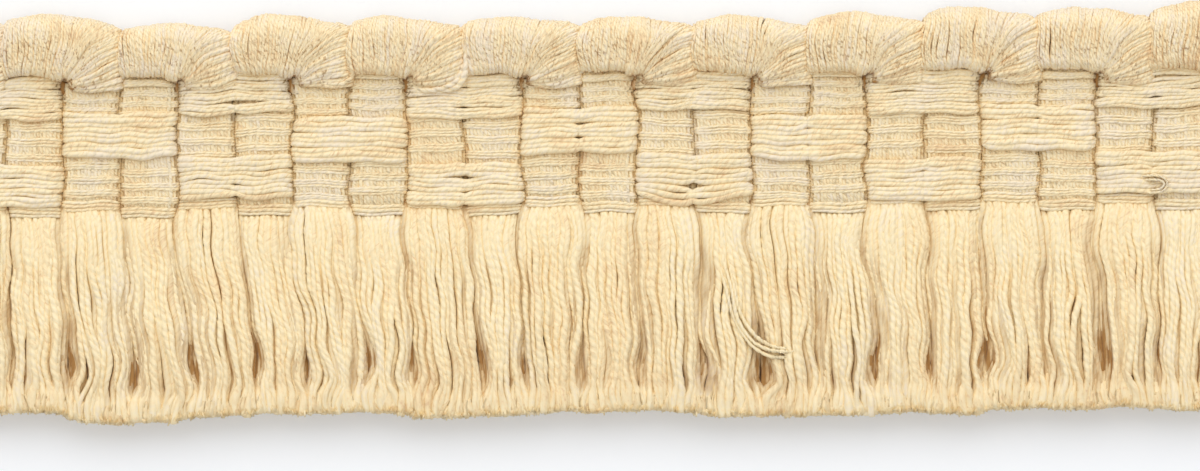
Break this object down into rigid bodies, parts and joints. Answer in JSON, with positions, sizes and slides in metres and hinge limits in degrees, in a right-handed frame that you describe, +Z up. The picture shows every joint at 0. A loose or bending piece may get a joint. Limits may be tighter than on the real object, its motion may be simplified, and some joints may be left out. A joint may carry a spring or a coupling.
{
  "type": "brush fringe trim",
  "caption": "Cut length of cream cotton brush fringe: a basket-weave heading with fat turned loops along one edge and a dense cut brush along the other, lying on its back.",
  "frame": {"origin": "middle of the trim's footprint, on the surface that it lies on", "axes": "+X along the trim, +Y towards the looped edge, +Z up out of its face"},
  "size_m": [0.172, 0.0518, 0.0062],
  "materials": {
    "heading_yarn": "cream two-ply cotton warps in a basket weave over the weft bundles",
    "loop_yarn": "cream soft cotton weft turned over in fat loops",
    "brush_yarn": "cream two-ply cotton strands, cut and brushed out at the ends"
  },
  "bodies": {
    "root": {"heading_band": "heading_yarn", "loop_01": "loop_yarn", "loop_02": "loop_yarn", "loop_03": "loop_yarn", "loop_04": "loop_yarn", "loop_05": "loop_yarn", "loop_06": "loop_yarn", "loop_07": "loop_yarn", "loop_08": "loop_yarn", "loop_09": "loop_yarn", "loop_10": "loop_yarn", "loop_11": "loop_yarn", "loop_12": "loop_yarn", "fringe_comb": "brush_yarn"}
  },
  "joints": []
}
